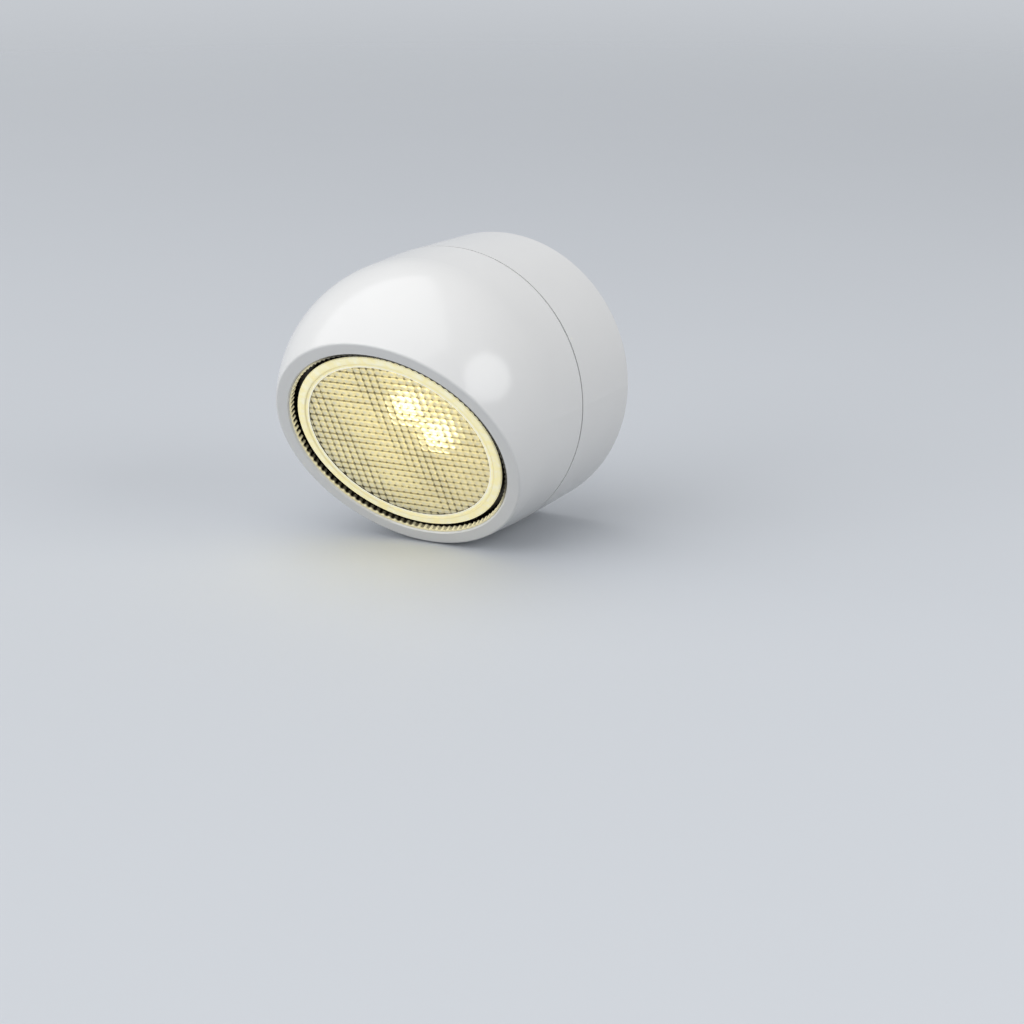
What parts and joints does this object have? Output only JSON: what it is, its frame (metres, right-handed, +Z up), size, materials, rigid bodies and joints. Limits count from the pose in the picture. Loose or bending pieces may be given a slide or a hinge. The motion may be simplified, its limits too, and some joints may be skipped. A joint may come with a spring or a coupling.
{
  "type": "plug in night light",
  "caption": "Round plug-in night light: a flat-blade plug on a short drum, with a ball-shaped head that turns about the wall axis and looks down through a slanted ribbed lens.",
  "frame": {"origin": "middle of the flat back face that meets the wall plate, on the axis that the head turns about", "axes": "+Z up as plugged in; the light stands out of the wall along -Y and its blades run along +Y into the outlet; +X is to the right seen from the front"},
  "size_m": [0.0414, 0.0569, 0.0414],
  "materials": {
    "shell_plastic": "glossy white moulded plastic",
    "inner_plastic": "plain white moulded plastic",
    "reflector_plastic": "bright white moulded plastic",
    "ring_plastic": "glossy translucent plastic",
    "lens_plastic": "clear ribbed plastic, lit warm from behind",
    "blade_metal": "nickel plated brass",
    "contact_brass": "bright brass",
    "spring_bronze": "phosphor bronze strip",
    "steel": "zinc plated steel",
    "board_laminate": "green coated laminate",
    "led_board_white": "white coated laminate",
    "film_case": "yellow box",
    "can_sleeve": "dark shrink sleeve",
    "black_epoxy": "black epoxy",
    "resistor_coat": "tan coat",
    "red_insulation": "red wire insulation",
    "black_insulation": "black wire insulation",
    "led_phosphor": "white package with yellow phosphor"
  },
  "bodies": {
    "base": {"base_housing": "shell_plastic", "line_blade": "blade_metal", "neutral_blade": "blade_metal", "blade_clamp": "inner_plastic", "driver_board": "board_laminate", "line_terminal": "contact_brass", "neutral_terminal": "contact_brass", "film_capacitor": "film_case", "smoothing_capacitor": "can_sleeve", "bridge_rectifier": "black_epoxy", "fuse_resistor": "resistor_coat", "bleed_resistor": "resistor_coat", "swivel_plate": "inner_plastic", "inner_ring": "contact_brass", "outer_ring": "contact_brass", "cover_screws": "steel", "pivot_screw": "steel", "pivot_washer": "steel", "spring_washer": "steel"},
    "head": {"head_plate": "inner_plastic", "inner_finger": "spring_bronze", "outer_finger": "spring_bronze", "contact_rivets": "steel", "inner_lead": "red_insulation", "outer_lead": "black_insulation", "head_shell": "shell_plastic", "lens": "lens_plastic", "lens_ring": "ring_plastic", "reflector_cup": "reflector_plastic", "led_board": "led_board_white", "upper_led": "led_phosphor", "lower_led": "led_phosphor", "led_resistor": "black_epoxy", "led_screws": "steel"}
  },
  "joints": [
    {"name": "head_swivel", "type": "hinge", "parent": "base", "child": "head", "pos_m": [0, -0.01555, 0], "axis": [0, -1, 0], "continuous": true}
  ]
}
